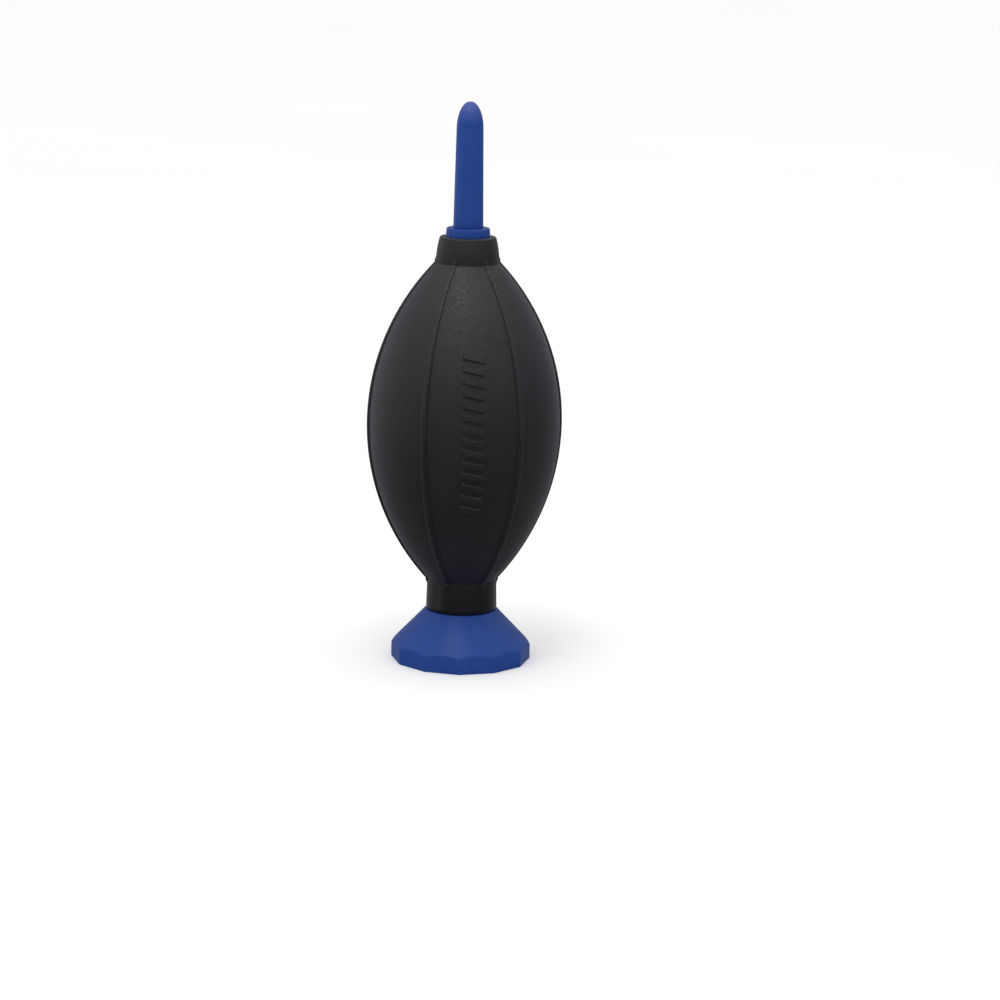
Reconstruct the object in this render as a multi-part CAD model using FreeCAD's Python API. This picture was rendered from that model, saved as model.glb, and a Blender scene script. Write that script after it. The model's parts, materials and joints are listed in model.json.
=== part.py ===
import FreeCAD, Part
import math
import os

# A hand-squeezed dust blower: a twelve-sided foot with a filtered inlet valve, a ribbed rubber bulb, and
# a plug with an outlet valve that carries a tapered nozzle. Sizes are in millimetres. The Z axis is the
# object's axis, Z = 0 is the plane that the foot stands on, and the front faces -Y.

# The bulb's outside, a circular arc between its two necks
BULB_RADIUS = 31.55
BULB_MIDDLE_Z = 79.8
BULB_ARC_RADIUS = 77.9
BULB_WALL = 2.8
BULB_TURN = 6.0
NECK_END_RADIUS = 11.75
NECK_RADIUS = 11.5
COLLAR_RADIUS = 10.4
COLLAR_BULGE_RADIUS = 10.1
COLLAR_TOP_RADIUS = 9.3
COLLAR_TOP_Z = 141.5
COLLAR_EDGE = 0.5

# Raised ribs along the bulb, and the raised grip bars on its front and back panels
RIB_COUNT = 6
RIB_WIDTH = 2.0
RIB_HEIGHT = 0.75
RIB_NECK_HEIGHT = 0.7
RIB_COLLAR_HEIGHT = 0.4
RIB_ROOT = 1.0
RIB_NECK_Z = 25.2
RIB_COLLAR_Z = 135.6
GRIP_BAR_COUNT = 14
GRIP_BAR_PITCH = 3.8
GRIP_BAR_WIDTH = 6.4
GRIP_BAR_HEIGHT = 1.9
GRIP_BAR_SLOPE = -12.0
GRIP_BAR_RELIEF = 0.5
GRIP_COLUMN_Z = 81.0

# The foot: a twelve-sided prism under a cone
FOOT_SIDES = 12
FOOT_CORNER_RADIUS = 23.2
FOOT_CONE_RADIUS = 28.1
FOOT_TOP_RADIUS = 11.95
FOOT_TOP_Z = 17.0
FOOT_EDGE = 0.4
FOOT_LEDGE_Z = 8.0
FOOT_LEDGE_RADIUS = 15.2
INLET_BORE_RADIUS = 6.6
INLET_TUBE_RADIUS = 8.4
INLET_TUBE_Z = 8.8
SPIGOT_TOP_Z = 28.8
SOCKET_BOSS_RADIUS = 10.4
SOCKET_BOSS_Z = 9.6

# Barbs that the rubber grips
FOOT_BARB_ROOT = 8.5
FOOT_BARB_TIP = 9.1
FOOT_BARB_PITCH = 3.2
PLUG_BARB_ROOT = 6.3
PLUG_BARB_TIP = 6.8
PLUG_BARB_PITCH = 2.4
BARB_COUNT = 3
BARB_MARGIN = 0.8
BARB_STEP = 0.3

# The bayonet cap under the foot and the filter that it holds
CAP_RADIUS = 18.7
CAP_RECESS = 1.2
CAP_TOP_Z = 3.0
SKIRT_RADIUS = 16.8
SKIRT_INNER_RADIUS = 15.3
SKIRT_TOP_Z = 7.2
LUG_COUNT = 3
LUG_RADIUS = 18.1
LUG_BOTTOM_Z = 5.0
LUG_TOP_Z = 6.4
LUG_SPAN = 16.0
LUG_SIDE_GAP = 1.0
CAP_TRAVEL = 40.0
CAP_GAP = 0.25
AIR_SLOT_COUNT = 8
AIR_SLOT_WIDTH = 2.2
AIR_SLOT_INNER_RADIUS = 7.0
AIR_SLOT_OUTER_RADIUS = 13.5
KEY_SLOT_LENGTH = 11.0
KEY_SLOT_WIDTH = 1.6
KEY_SLOT_DEPTH = 0.9
FILTER_RADIUS = 15.2
FRAME_WALL = 1.0
SCREEN_BOTTOM_Z = 3.05
SCREEN_THICKNESS = 0.35
SCREEN_PITCH = 2.4
SCREEN_BAR = 0.6
FRAME_BOTTOM_Z = 3.45
FRAME_TOP_Z = 6.9
FRAME_SPOKE_HEIGHT = 0.6
PLEAT_PITCH = 1.9
PLEAT_THICKNESS = 0.45
PLEAT_BOTTOM_Z = 3.5
PLEAT_TOP_Z = 6.2
GASKET_INNER_RADIUS = 15.4
GASKET_OUTER_RADIUS = 16.9

# The inlet valve, in the foot's tube
INLET_SEAT_Z = 9.2
INLET_SEAT_THICKNESS = 1.2
INLET_LIP = 0.3
INLET_HOLE_COUNT = 6
INLET_HOLE_RADIUS = 1.0
INLET_HOLE_CIRCLE = 3.4
INLET_DISC_RADIUS = 5.6
INLET_DISC_THICKNESS = 0.7
INLET_LIFT = 1.3
INLET_CAGE_INNER_RADIUS = 5.85
VALVE_SPOKE = 1.4
VALVE_HUB_RADIUS = 1.8
VALVE_BRIDGE = 0.8

# The plug in the bulb's collar, and the outlet valve in it
PLUG_BOTTOM_Z = 122.0
PLUG_BODY_RADIUS = 6.1
FLANGE_Z = 141.55
FLANGE_TOP_Z = 144.4
FLANGE_RADIUS = 7.25
FLANGE_TOP_RADIUS = 7.1
FLANGE_EDGE = 0.55
OUTLET_CHAMBER_RADIUS = 4.6
OUTLET_CHAMBER_TOP_Z = 133.4
SOCKET_RADIUS = 3.5
OUTLET_SEAT_THICKNESS = 2.0
OUTLET_SEAT_BORE = 2.2
OUTLET_LIP = 0.3
WASHER_RADIUS = 3.6
WASHER_THICKNESS = 0.65
POPPET_RADIUS = 3.9
POPPET_THICKNESS = 0.8
STEM_RADIUS = 0.9
STEM_TOP_Z = 134.3
GUIDE_THICKNESS = 1.1
GUIDE_INNER_RADIUS = 3.7
GUIDE_BORE = 0.98
SPRING_RADIUS = 2.3
SPRING_WIRE_RADIUS = 0.2
SPRING_WIRE_SIDES = 8
SPRING_TURNS = 6

# The nozzle
NOZZLE_STEM_RADIUS = 3.4
NOZZLE_STEM_Z = 136.2
NOZZLE_BASE_Z = 144.45
NOZZLE_BASE_RADIUS = 4.9
NOZZLE_SHOULDER_RADIUS = 4.35
NOZZLE_TIP_Z = 185.25
NOZZLE_DOME = 8.7
NOZZLE_BORE = 1.9
NOZZLE_BORE_TAPER_Z = 150.0
OUTLET_RADIUS = 0.9
OUTLET_LENGTH = 6.0
RING_SECTION_RADIUS = 0.4
RING_GROOVE_Z = 138.0
RING_GROOVE_HEIGHT = 1.0
RING_GROOVE_RADIUS = 2.64

# Clearances: round fits that turn or slide, pieces pressed together, and faces that meet
RUNNING_GAP = 0.05
PRESS_GAP = 0.03
FACE_GAP = 0.05

ORIGIN = FreeCAD.Vector(0, 0, 0)
UP = FreeCAD.Vector(0, 0, 1)
FULL_TURN = 360.0


def at(radius, height):
    """A point in the XZ plane, from its radius and its height."""
    return FreeCAD.Vector(radius, 0, height)


def outline_face(path):
    """A face in the XZ plane. A path entry is a corner (radius, height), or a pair of those for an arc
    through the first to the second."""
    edges = []
    here = path[-1] if isinstance(path[-1][0], (int, float)) else path[-1][1]
    for entry in path:
        if isinstance(entry[0], (int, float)):
            edges.append(Part.LineSegment(at(*here), at(*entry)).toShape())
            here = entry
        else:
            middle, end = entry
            edges.append(Part.Arc(at(*here), at(*middle), at(*end)).toShape())
            here = end
    return Part.Face(Part.Wire(edges))


def turned(path):
    """The solid that an outline makes when it is turned about the Z axis."""
    return outline_face(path).revolve(ORIGIN, UP, FULL_TURN)


def ring(outer, inner, bottom, top):
    """A flat ring about the Z axis."""
    return turned([(inner, bottom), (outer, bottom), (outer, top), (inner, top)])


def disc(radius, bottom, top):
    """A round disc about the Z axis."""
    return Part.makeCylinder(radius, top - bottom, at(0, bottom))


def sector(outer, inner, bottom, top, start, span):
    """A piece of a flat ring, from a start angle over a span, both in degrees."""
    face = outline_face([(inner, bottom), (outer, bottom), (outer, top), (inner, top)])
    return turn(face.revolve(ORIGIN, UP, span), start)


def bar(length, width, bottom, top, start=0.0):
    """A straight bar along +X, centred on it, from a start distance."""
    return Part.makeBox(length, width, top - bottom, FreeCAD.Vector(start, -width / 2, bottom))


def turn(shape, angle):
    """A copy of a shape, turned about the Z axis by an angle in degrees."""
    copy = shape.copy()
    copy.rotate(ORIGIN, UP, angle)
    return copy


def around(shape, count, first=0.0):
    """Copies of a shape, evenly spaced about the Z axis."""
    return [turn(shape, first + FULL_TURN * i / count) for i in range(count)]


def joined(shapes):
    """One solid made of several that overlap or share a face."""
    return shapes[0].multiFuse(shapes[1:]).removeSplitter()


def rounded_top(radius, top, edge):
    """The end of a wall and an arc over its top edge, for an outline that comes up that wall."""
    middle = (radius - edge * (1 - math.sqrt(0.5)), top - edge * (1 - math.sqrt(0.5)))
    return [(radius, top - edge), (middle, (radius - edge, top))]


def arc_rise(radius, arc_radius):
    """How far above or below its middle the bulb's arc has a given radius."""
    centre = BULB_RADIUS - BULB_ARC_RADIUS
    return math.sqrt(arc_radius ** 2 - (radius - centre) ** 2)


def barb_line(root, tip, start, pitch, gap=0.0):
    """The barbs' outline from their start. A negative pitch runs downwards."""
    points = []
    step = math.copysign(BARB_STEP, pitch)
    for i in range(BARB_COUNT):
        base = start + i * pitch
        points.append((root + gap, base))
        points.append((tip + gap, base + step))
    points.append((root + gap, start + BARB_COUNT * pitch))
    return points


def foot_barbs(gap=0.0):
    return barb_line(FOOT_BARB_ROOT, FOOT_BARB_TIP, FOOT_TOP_Z + BARB_MARGIN, FOOT_BARB_PITCH, gap)


def plug_barbs(gap=0.0):
    return barb_line(PLUG_BARB_ROOT, PLUG_BARB_TIP, FLANGE_Z - BARB_MARGIN, -PLUG_BARB_PITCH, gap)


def foot_block():
    """The foot's outside: a prism with rounded edges, which the cone cuts to a scalloped edge."""
    corners = []
    for i in range(FOOT_SIDES):
        angle = math.radians(FULL_TURN * i / FOOT_SIDES)
        corners.append((FOOT_CORNER_RADIUS * math.cos(angle), FOOT_CORNER_RADIUS * math.sin(angle)))
    points = [FreeCAD.Vector(x, y, 0) for x, y in corners]
    prism = Part.Face(Part.makePolygon(points + points[:1])).extrude(UP * FOOT_TOP_Z)
    edges = [edge for edge in prism.Edges if edge.BoundBox.ZMin < FOOT_EDGE]
    cone = Part.makeCone(FOOT_CONE_RADIUS, FOOT_TOP_RADIUS, FOOT_TOP_Z)
    return prism.makeFillet(FOOT_EDGE, edges).common(cone)


def foot_shell():
    """The foot, with its filter pocket, the bayonet's slots and the socket for the inlet spigot."""
    pocket_radius = CAP_RADIUS + CAP_GAP
    skirt_radius = SKIRT_RADIUS + CAP_GAP
    shelf_z = CAP_TOP_Z + FACE_GAP
    pocket = turned([
        (0, 0), (pocket_radius, 0), (pocket_radius, shelf_z), (skirt_radius, shelf_z),
        (skirt_radius, FOOT_LEDGE_Z), (FOOT_LEDGE_RADIUS, FOOT_LEDGE_Z),
        (SOCKET_BOSS_RADIUS, FOOT_LEDGE_Z + FOOT_LEDGE_RADIUS - SOCKET_BOSS_RADIUS),
        (SOCKET_BOSS_RADIUS, SOCKET_BOSS_Z), (0, SOCKET_BOSS_Z),
    ])
    socket = disc(INLET_TUBE_RADIUS + PRESS_GAP, 0, FOOT_TOP_Z)
    outer = LUG_RADIUS + CAP_GAP
    low = LUG_BOTTOM_Z - CAP_GAP
    high = LUG_TOP_Z + CAP_GAP
    span = LUG_SPAN + 2 * LUG_SIDE_GAP
    groove = sector(outer, FILTER_RADIUS, low, high, -span / 2, CAP_TRAVEL + span)
    entry = sector(outer, FILTER_RADIUS, CAP_TOP_Z, high, CAP_TRAVEL - span / 2, span)
    return foot_block().cut([pocket, socket] + around(groove, LUG_COUNT) + around(entry, LUG_COUNT))


def inlet_spigot():
    """The barbed tube pressed into the foot, which holds the bulb outside and the inlet valve inside."""
    outside = [(INLET_TUBE_RADIUS, INLET_TUBE_Z), (INLET_TUBE_RADIUS, FOOT_TOP_Z)]
    outside += [(FOOT_BARB_ROOT, FOOT_TOP_Z)] + foot_barbs() + [(FOOT_BARB_ROOT, SPIGOT_TOP_Z)]
    return turned(outside + [(INLET_BORE_RADIUS, SPIGOT_TOP_Z), (INLET_BORE_RADIUS, INLET_TUBE_Z)])


def inlet_valve_seat():
    """The plate with air holes that the inlet disc closes."""
    lip_z = INLET_SEAT_Z + INLET_SEAT_THICKNESS
    plate = disc(INLET_BORE_RADIUS - PRESS_GAP, INLET_SEAT_Z, lip_z)
    reach = INLET_HOLE_RADIUS + INLET_LIP
    lips = []
    for radius in (INLET_HOLE_CIRCLE - reach, INLET_HOLE_CIRCLE + reach):
        lips.append(ring(radius + INLET_LIP, radius - INLET_LIP, lip_z - INLET_LIP, lip_z + INLET_LIP))
    hole = Part.makeCylinder(INLET_HOLE_RADIUS, INLET_SEAT_THICKNESS, at(INLET_HOLE_CIRCLE, INLET_SEAT_Z))
    return joined([plate] + lips).cut(around(hole, INLET_HOLE_COUNT))


def inlet_disc_bottom():
    return INLET_SEAT_Z + INLET_SEAT_THICKNESS + INLET_LIP + FACE_GAP


def inlet_valve_disc():
    """The soft disc that lifts off the seat to let air in."""
    return disc(INLET_DISC_RADIUS, inlet_disc_bottom(), inlet_disc_bottom() + INLET_DISC_THICKNESS)


def spoked_ring(outer, inner, bottom, top, bridge_bottom):
    """A ring with a hub on three spokes, which fill its height from bridge_bottom to top."""
    spoke = bar(outer - PRESS_GAP, VALVE_SPOKE, bridge_bottom, top)
    hub = disc(VALVE_HUB_RADIUS, bridge_bottom, top)
    return joined([ring(outer, inner, bottom, top), hub] + around(spoke, 3))


def inlet_valve_cage():
    """The cage that stops the inlet disc's lift."""
    bottom = INLET_SEAT_Z + INLET_SEAT_THICKNESS
    bridge = inlet_disc_bottom() + INLET_DISC_THICKNESS + INLET_LIFT + FACE_GAP
    outer = INLET_BORE_RADIUS - PRESS_GAP
    return spoked_ring(outer, INLET_CAGE_INNER_RADIUS, bottom, bridge + VALVE_BRIDGE, bridge)


def filter_gasket():
    """The flat seal between the cap's skirt and the foot's ledge."""
    return ring(GASKET_OUTER_RADIUS, GASKET_INNER_RADIUS, SKIRT_TOP_Z + FACE_GAP, FOOT_LEDGE_Z)


def filter_cap():
    """The bayonet cap, with air slots and a slot for a coin or a screwdriver."""
    plate = disc(CAP_RADIUS, CAP_RECESS, CAP_TOP_Z)
    skirt = ring(SKIRT_RADIUS, SKIRT_INNER_RADIUS, CAP_TOP_Z - FACE_GAP, SKIRT_TOP_Z)
    lug = sector(LUG_RADIUS, SKIRT_INNER_RADIUS, LUG_BOTTOM_Z, LUG_TOP_Z, -LUG_SPAN / 2, LUG_SPAN)
    slot_length = AIR_SLOT_OUTER_RADIUS - AIR_SLOT_INNER_RADIUS
    slot = bar(slot_length, AIR_SLOT_WIDTH, CAP_RECESS, CAP_TOP_Z, AIR_SLOT_INNER_RADIUS)
    key_top = CAP_RECESS + KEY_SLOT_DEPTH
    key = bar(KEY_SLOT_LENGTH, KEY_SLOT_WIDTH, CAP_RECESS, key_top, -KEY_SLOT_LENGTH / 2)
    cap = joined([plate, skirt] + around(lug, LUG_COUNT))
    return cap.cut([key] + around(slot, AIR_SLOT_COUNT, FULL_TURN / AIR_SLOT_COUNT / 2))


def screen(bottom, top):
    """A round screen of crossed bars in a rim."""
    bars = []
    steps = int(FILTER_RADIUS / SCREEN_PITCH)
    for i in range(-steps, steps + 1):
        rod = bar(2 * FILTER_RADIUS, SCREEN_BAR, bottom, top, -FILTER_RADIUS)
        rod.translate(FreeCAD.Vector(0, i * SCREEN_PITCH, 0))
        bars.append(rod)
        bars.append(turn(rod, 90))
    grid = joined(bars).common(disc(FILTER_RADIUS - FRAME_WALL / 2, bottom, top))
    return joined([ring(FILTER_RADIUS, FILTER_RADIUS - FRAME_WALL, bottom, top), grid])


def filter_screen():
    """The screen under the pleats, which keeps grit off them."""
    return screen(SCREEN_BOTTOM_Z, SCREEN_BOTTOM_Z + SCREEN_THICKNESS)


def filter_back_screen():
    """The screen over the pleats, which keeps loose fibres out of the inlet valve."""
    return screen(FRAME_TOP_Z, SKIRT_TOP_Z)


def filter_frame():
    """The ring round the pleats, with the spokes that hold them down."""
    outer = FILTER_RADIUS
    inner = FILTER_RADIUS - FRAME_WALL
    return spoked_ring(outer, inner, FRAME_BOTTOM_Z, FRAME_TOP_Z, FRAME_TOP_Z - FRAME_SPOKE_HEIGHT)


def filter_pleats():
    """The filter's folded sheet: a zigzag of even thickness, trimmed to a disc."""
    radius = FILTER_RADIUS - FRAME_WALL - RUNNING_GAP
    folds = 2 * int(radius / PLEAT_PITCH) + 2
    lower = []
    upper = []
    for i in range(-folds, folds + 1):
        x = i * PLEAT_PITCH / 2
        z = PLEAT_BOTTOM_Z if i % 2 else PLEAT_TOP_Z - 2 * PLEAT_THICKNESS
        lower.append((x, z))
        upper.append((x, z + 2 * PLEAT_THICKNESS))
    sheet = outline_face(lower + upper[::-1])
    sheet.translate(FreeCAD.Vector(0, -FILTER_RADIUS, 0))
    folded = sheet.extrude(FreeCAD.Vector(0, 2 * FILTER_RADIUS, 0))
    return folded.common(disc(radius, PLEAT_BOTTOM_Z, PLEAT_TOP_Z))


def bulb_surface_path(neck_lift, middle_lift, collar_lift):
    """The outside of the bulb's body as an arc from the neck to the collar, lifted at those three places."""
    neck_z = BULB_MIDDLE_Z - arc_rise(NECK_RADIUS, BULB_ARC_RADIUS)
    collar_z = BULB_MIDDLE_Z + arc_rise(COLLAR_RADIUS, BULB_ARC_RADIUS)
    middle = (BULB_RADIUS + middle_lift, BULB_MIDDLE_Z)
    return [(NECK_RADIUS + neck_lift, neck_z), (middle, (COLLAR_RADIUS + collar_lift, collar_z))]


def bulb_body():
    """The bulb's rubber wall, with both necks shaped to the barbs in them."""
    inner_arc = BULB_ARC_RADIUS - BULB_WALL
    neck_bore = FOOT_BARB_ROOT + RUNNING_GAP
    collar_bore = PLUG_BARB_ROOT + RUNNING_GAP
    cavity_bottom = BULB_MIDDLE_Z - arc_rise(neck_bore, inner_arc)
    cavity_top = BULB_MIDDLE_Z + arc_rise(collar_bore, inner_arc)
    collar_edge = rounded_top(COLLAR_TOP_RADIUS, COLLAR_TOP_Z, COLLAR_EDGE)
    collar_side = ((COLLAR_BULGE_RADIUS, (cavity_top + COLLAR_TOP_Z) / 2), collar_edge[0])
    outside = [(neck_bore, FOOT_TOP_Z + FACE_GAP), (NECK_END_RADIUS, FOOT_TOP_Z + FACE_GAP)]
    outside += bulb_surface_path(0, 0, 0)
    outside += [collar_side, collar_edge[1], (collar_bore, COLLAR_TOP_Z)]
    inside = plug_barbs(RUNNING_GAP) + [(collar_bore, cavity_top)]
    inside += [((BULB_RADIUS - BULB_WALL, BULB_MIDDLE_Z), (neck_bore, cavity_bottom))]
    inside += foot_barbs(RUNNING_GAP)[::-1]
    return turned(outside + inside)


def bulb_rib():
    """One rib along +X, from the neck over the body to the collar, sunk into the wall."""
    start, (middle, end) = bulb_surface_path(-RIB_ROOT, -RIB_ROOT, -RIB_ROOT)
    crest = bulb_surface_path(RIB_NECK_HEIGHT, RIB_HEIGHT, RIB_COLLAR_HEIGHT)
    bottom = [(NECK_RADIUS - RIB_ROOT, RIB_NECK_Z), (NECK_RADIUS, RIB_NECK_Z)]
    top = [(COLLAR_RADIUS - RIB_ROOT / 2, RIB_COLLAR_Z), (COLLAR_RADIUS - RIB_ROOT, RIB_COLLAR_Z)]
    face = outline_face(bottom + crest + top + [end, (middle, start)])
    face.translate(FreeCAD.Vector(0, -RIB_WIDTH / 2, 0))
    return face.extrude(FreeCAD.Vector(0, RIB_WIDTH, 0))


def grip_column():
    """A column of sloping raised bars on the panel that faces +X."""
    start, (middle, end) = bulb_surface_path(-RIB_ROOT, -RIB_ROOT, -RIB_ROOT)
    crest = bulb_surface_path(GRIP_BAR_RELIEF, GRIP_BAR_RELIEF, GRIP_BAR_RELIEF)
    skin = turned(crest + [end, (middle, start)])
    bars = []
    for i in range(GRIP_BAR_COUNT):
        block = Part.makeBox(
            BULB_RADIUS, GRIP_BAR_WIDTH, GRIP_BAR_HEIGHT,
            FreeCAD.Vector(BULB_RADIUS / 2, -GRIP_BAR_WIDTH / 2, -GRIP_BAR_HEIGHT / 2))
        block.rotate(ORIGIN, FreeCAD.Vector(1, 0, 0), GRIP_BAR_SLOPE)
        block.translate(UP * (GRIP_COLUMN_Z + (i - (GRIP_BAR_COUNT - 1) / 2) * GRIP_BAR_PITCH))
        bars.append(block)
    return [block.common(skin) for block in bars]


def bulb():
    """The rubber bulb in one piece. Panels face front and back, turned a little from the foot's corners."""
    front = -90 + BULB_TURN
    ribs = around(bulb_rib(), RIB_COUNT, front + FULL_TURN / RIB_COUNT / 2)
    bars = []
    for block in grip_column():
        bars += around(block, 2, front)
    return joined([bulb_body()] + ribs + bars)


def nozzle_plug():
    """The flanged plug with barbs for the collar, the outlet valve's chamber and the nozzle's socket."""
    last_barb_z = plug_barbs()[-1][1]
    outside = [(PLUG_BODY_RADIUS, PLUG_BOTTOM_Z), (PLUG_BODY_RADIUS, last_barb_z)]
    outside += plug_barbs()[::-1]
    outside += [(PLUG_BARB_ROOT, FLANGE_Z), (FLANGE_RADIUS, FLANGE_Z)]
    outside += rounded_top(FLANGE_TOP_RADIUS, FLANGE_TOP_Z, FLANGE_EDGE)
    inside = [
        (SOCKET_RADIUS, FLANGE_TOP_Z), (SOCKET_RADIUS, OUTLET_CHAMBER_TOP_Z),
        (OUTLET_CHAMBER_RADIUS, OUTLET_CHAMBER_TOP_Z), (OUTLET_CHAMBER_RADIUS, PLUG_BOTTOM_Z),
    ]
    return turned(outside + inside)


def outlet_lip_z():
    return PLUG_BOTTOM_Z + OUTLET_SEAT_THICKNESS + OUTLET_LIP


def outlet_valve_seat():
    """The ring that the outlet washer closes."""
    outer = OUTLET_CHAMBER_RADIUS - PRESS_GAP
    lip_z = outlet_lip_z()
    base = ring(outer, OUTLET_SEAT_BORE, PLUG_BOTTOM_Z, lip_z - OUTLET_LIP)
    lip = ring(OUTLET_SEAT_BORE + 2 * OUTLET_LIP, OUTLET_SEAT_BORE, lip_z - 2 * OUTLET_LIP, lip_z)
    return joined([base, lip])


def washer_bottom():
    return outlet_lip_z() + FACE_GAP


def outlet_valve_washer():
    """The soft washer under the poppet's head."""
    bore = STEM_RADIUS + PRESS_GAP
    return ring(WASHER_RADIUS, bore, washer_bottom(), washer_bottom() + WASHER_THICKNESS)


def poppet_top():
    return washer_bottom() + WASHER_THICKNESS + POPPET_THICKNESS


def outlet_valve_poppet():
    """The poppet: a head over the washer, on a stem that the guide holds."""
    head = disc(POPPET_RADIUS, poppet_top() - POPPET_THICKNESS, poppet_top())
    stem = disc(STEM_RADIUS, washer_bottom(), STEM_TOP_Z)
    return joined([head, stem])


def outlet_valve_guide():
    """The spoked ring at the top of the chamber that guides the poppet's stem."""
    bottom = OUTLET_CHAMBER_TOP_Z - GUIDE_THICKNESS
    spokes = spoked_ring(OUTLET_CHAMBER_RADIUS - PRESS_GAP, GUIDE_INNER_RADIUS, bottom,
                         OUTLET_CHAMBER_TOP_Z, bottom)
    return spokes.cut(disc(GUIDE_BORE, bottom, OUTLET_CHAMBER_TOP_Z))


def outlet_valve_spring():
    """The light coil spring between the poppet's head and the guide."""
    low = poppet_top() + SPRING_WIRE_RADIUS + FACE_GAP
    high = OUTLET_CHAMBER_TOP_Z - GUIDE_THICKNESS - SPRING_WIRE_RADIUS - FACE_GAP
    helix = Part.makeHelix((high - low) / SPRING_TURNS, high - low, SPRING_RADIUS)
    helix.translate(UP * low)
    corners = []
    for i in range(SPRING_WIRE_SIDES):
        angle = 2 * math.pi * i / SPRING_WIRE_SIDES
        corners.append(at(SPRING_RADIUS + SPRING_WIRE_RADIUS * math.cos(angle),
                          low + SPRING_WIRE_RADIUS * math.sin(angle)))
    section = Part.makePolygon(corners + corners[:1])
    return Part.Wire(helix.Edges).makePipeShell([section], True, True)


def nozzle():
    """The tapered nozzle: a grooved stem, a long tube and a rounded tip with the outlet in it."""
    dome_z = NOZZLE_TIP_Z - NOZZLE_DOME
    mouth_angle = math.asin(OUTLET_RADIUS / NOZZLE_SHOULDER_RADIUS)
    mouth_z = dome_z + NOZZLE_DOME * math.cos(mouth_angle)
    oval = Part.Ellipse(at(0, NOZZLE_TIP_Z), at(NOZZLE_SHOULDER_RADIUS, dome_z), at(0, dome_z))
    dome = Part.ArcOfEllipse(oval, mouth_angle, math.pi / 2)
    groove_top = RING_GROOVE_Z + RING_GROOVE_HEIGHT
    corners = [
        (NOZZLE_SHOULDER_RADIUS, dome_z), (NOZZLE_BASE_RADIUS, NOZZLE_BASE_Z),
        (NOZZLE_STEM_RADIUS, NOZZLE_BASE_Z), (NOZZLE_STEM_RADIUS, groove_top),
        (RING_GROOVE_RADIUS, groove_top), (RING_GROOVE_RADIUS, RING_GROOVE_Z),
        (NOZZLE_STEM_RADIUS, RING_GROOVE_Z), (NOZZLE_STEM_RADIUS, NOZZLE_STEM_Z),
        (NOZZLE_BORE, NOZZLE_STEM_Z), (NOZZLE_BORE, NOZZLE_BORE_TAPER_Z),
        (OUTLET_RADIUS, mouth_z - OUTLET_LENGTH), (OUTLET_RADIUS, mouth_z),
    ]
    edges = [dome.toShape()]
    for start, end in zip(corners, corners[1:]):
        edges.append(Part.LineSegment(at(*start), at(*end)).toShape())
    return Part.Face(Part.Wire(edges)).revolve(ORIGIN, UP, FULL_TURN)


def nozzle_seal_ring():
    """The rubber ring in the nozzle stem's groove, which grips the plug's socket."""
    radius = RING_GROOVE_RADIUS + RING_SECTION_RADIUS + FACE_GAP / 2
    return Part.makeTorus(radius, RING_SECTION_RADIUS, at(0, RING_GROOVE_Z + RING_GROOVE_HEIGHT / 2))


NODES = [
    foot_shell, inlet_spigot, inlet_valve_seat, inlet_valve_disc, inlet_valve_cage, filter_gasket,
    filter_cap, filter_screen, filter_frame, filter_pleats, filter_back_screen, bulb, nozzle_plug,
    outlet_valve_seat, outlet_valve_washer, outlet_valve_poppet, outlet_valve_guide, outlet_valve_spring,
    nozzle, nozzle_seal_ring,
]

os.makedirs("parts", exist_ok=True)
for make in NODES:
    make().exportStep("parts/" + make.__name__ + ".step")
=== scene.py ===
import json
import math

import bpy
import numpy as np
from mathutils import Matrix, Vector


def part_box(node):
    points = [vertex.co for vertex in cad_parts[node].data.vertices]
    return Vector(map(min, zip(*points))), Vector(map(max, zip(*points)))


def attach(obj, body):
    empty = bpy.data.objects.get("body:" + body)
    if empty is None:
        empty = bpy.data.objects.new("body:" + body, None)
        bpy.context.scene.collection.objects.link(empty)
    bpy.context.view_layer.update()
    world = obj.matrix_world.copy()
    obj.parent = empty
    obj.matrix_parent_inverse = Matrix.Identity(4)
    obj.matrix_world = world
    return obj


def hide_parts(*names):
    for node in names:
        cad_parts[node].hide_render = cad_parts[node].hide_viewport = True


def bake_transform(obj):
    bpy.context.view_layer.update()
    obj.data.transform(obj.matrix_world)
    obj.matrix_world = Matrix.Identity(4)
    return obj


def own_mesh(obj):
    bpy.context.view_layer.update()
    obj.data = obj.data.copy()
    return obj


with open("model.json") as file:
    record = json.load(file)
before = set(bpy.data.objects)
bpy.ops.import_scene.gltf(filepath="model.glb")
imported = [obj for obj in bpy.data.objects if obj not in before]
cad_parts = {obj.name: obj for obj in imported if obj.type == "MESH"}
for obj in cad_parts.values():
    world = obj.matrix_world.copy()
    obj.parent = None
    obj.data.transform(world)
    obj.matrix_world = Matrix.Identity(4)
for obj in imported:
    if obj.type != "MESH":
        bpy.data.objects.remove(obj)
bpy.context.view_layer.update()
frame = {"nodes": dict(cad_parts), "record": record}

MM = 0.001
TURN = 2 * math.pi
SHARP_ANGLE = math.radians(38.0)

# The bulb: the sizes that the frame's boxes don't give, and its front, turned a little to the right
BULB_ARC_RADIUS = 77.9 * MM
BULB_MIDDLE_Z = 79.8 * MM
BULB_RADIUS = 31.4 * MM
BULB_ARC_CENTRE = BULB_RADIUS - BULB_ARC_RADIUS
BULB_WALL = 2.8 * MM
BULB_FRONT = math.radians(-90 + 6.0)
NECK_END_RADIUS = 11.75 * MM
NECK_RADIUS = 11.5 * MM
NECK_BORE = 9.2 * MM
NECK_EDGE = 1.2 * MM
COLLAR_RADIUS = 10.4 * MM
COLLAR_TOP_RADIUS = 9.3 * MM
COLLAR_BORE = 6.9 * MM
COLLAR_BULGE = 0.25 * MM
COLLAR_EDGE = 0.5 * MM

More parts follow.
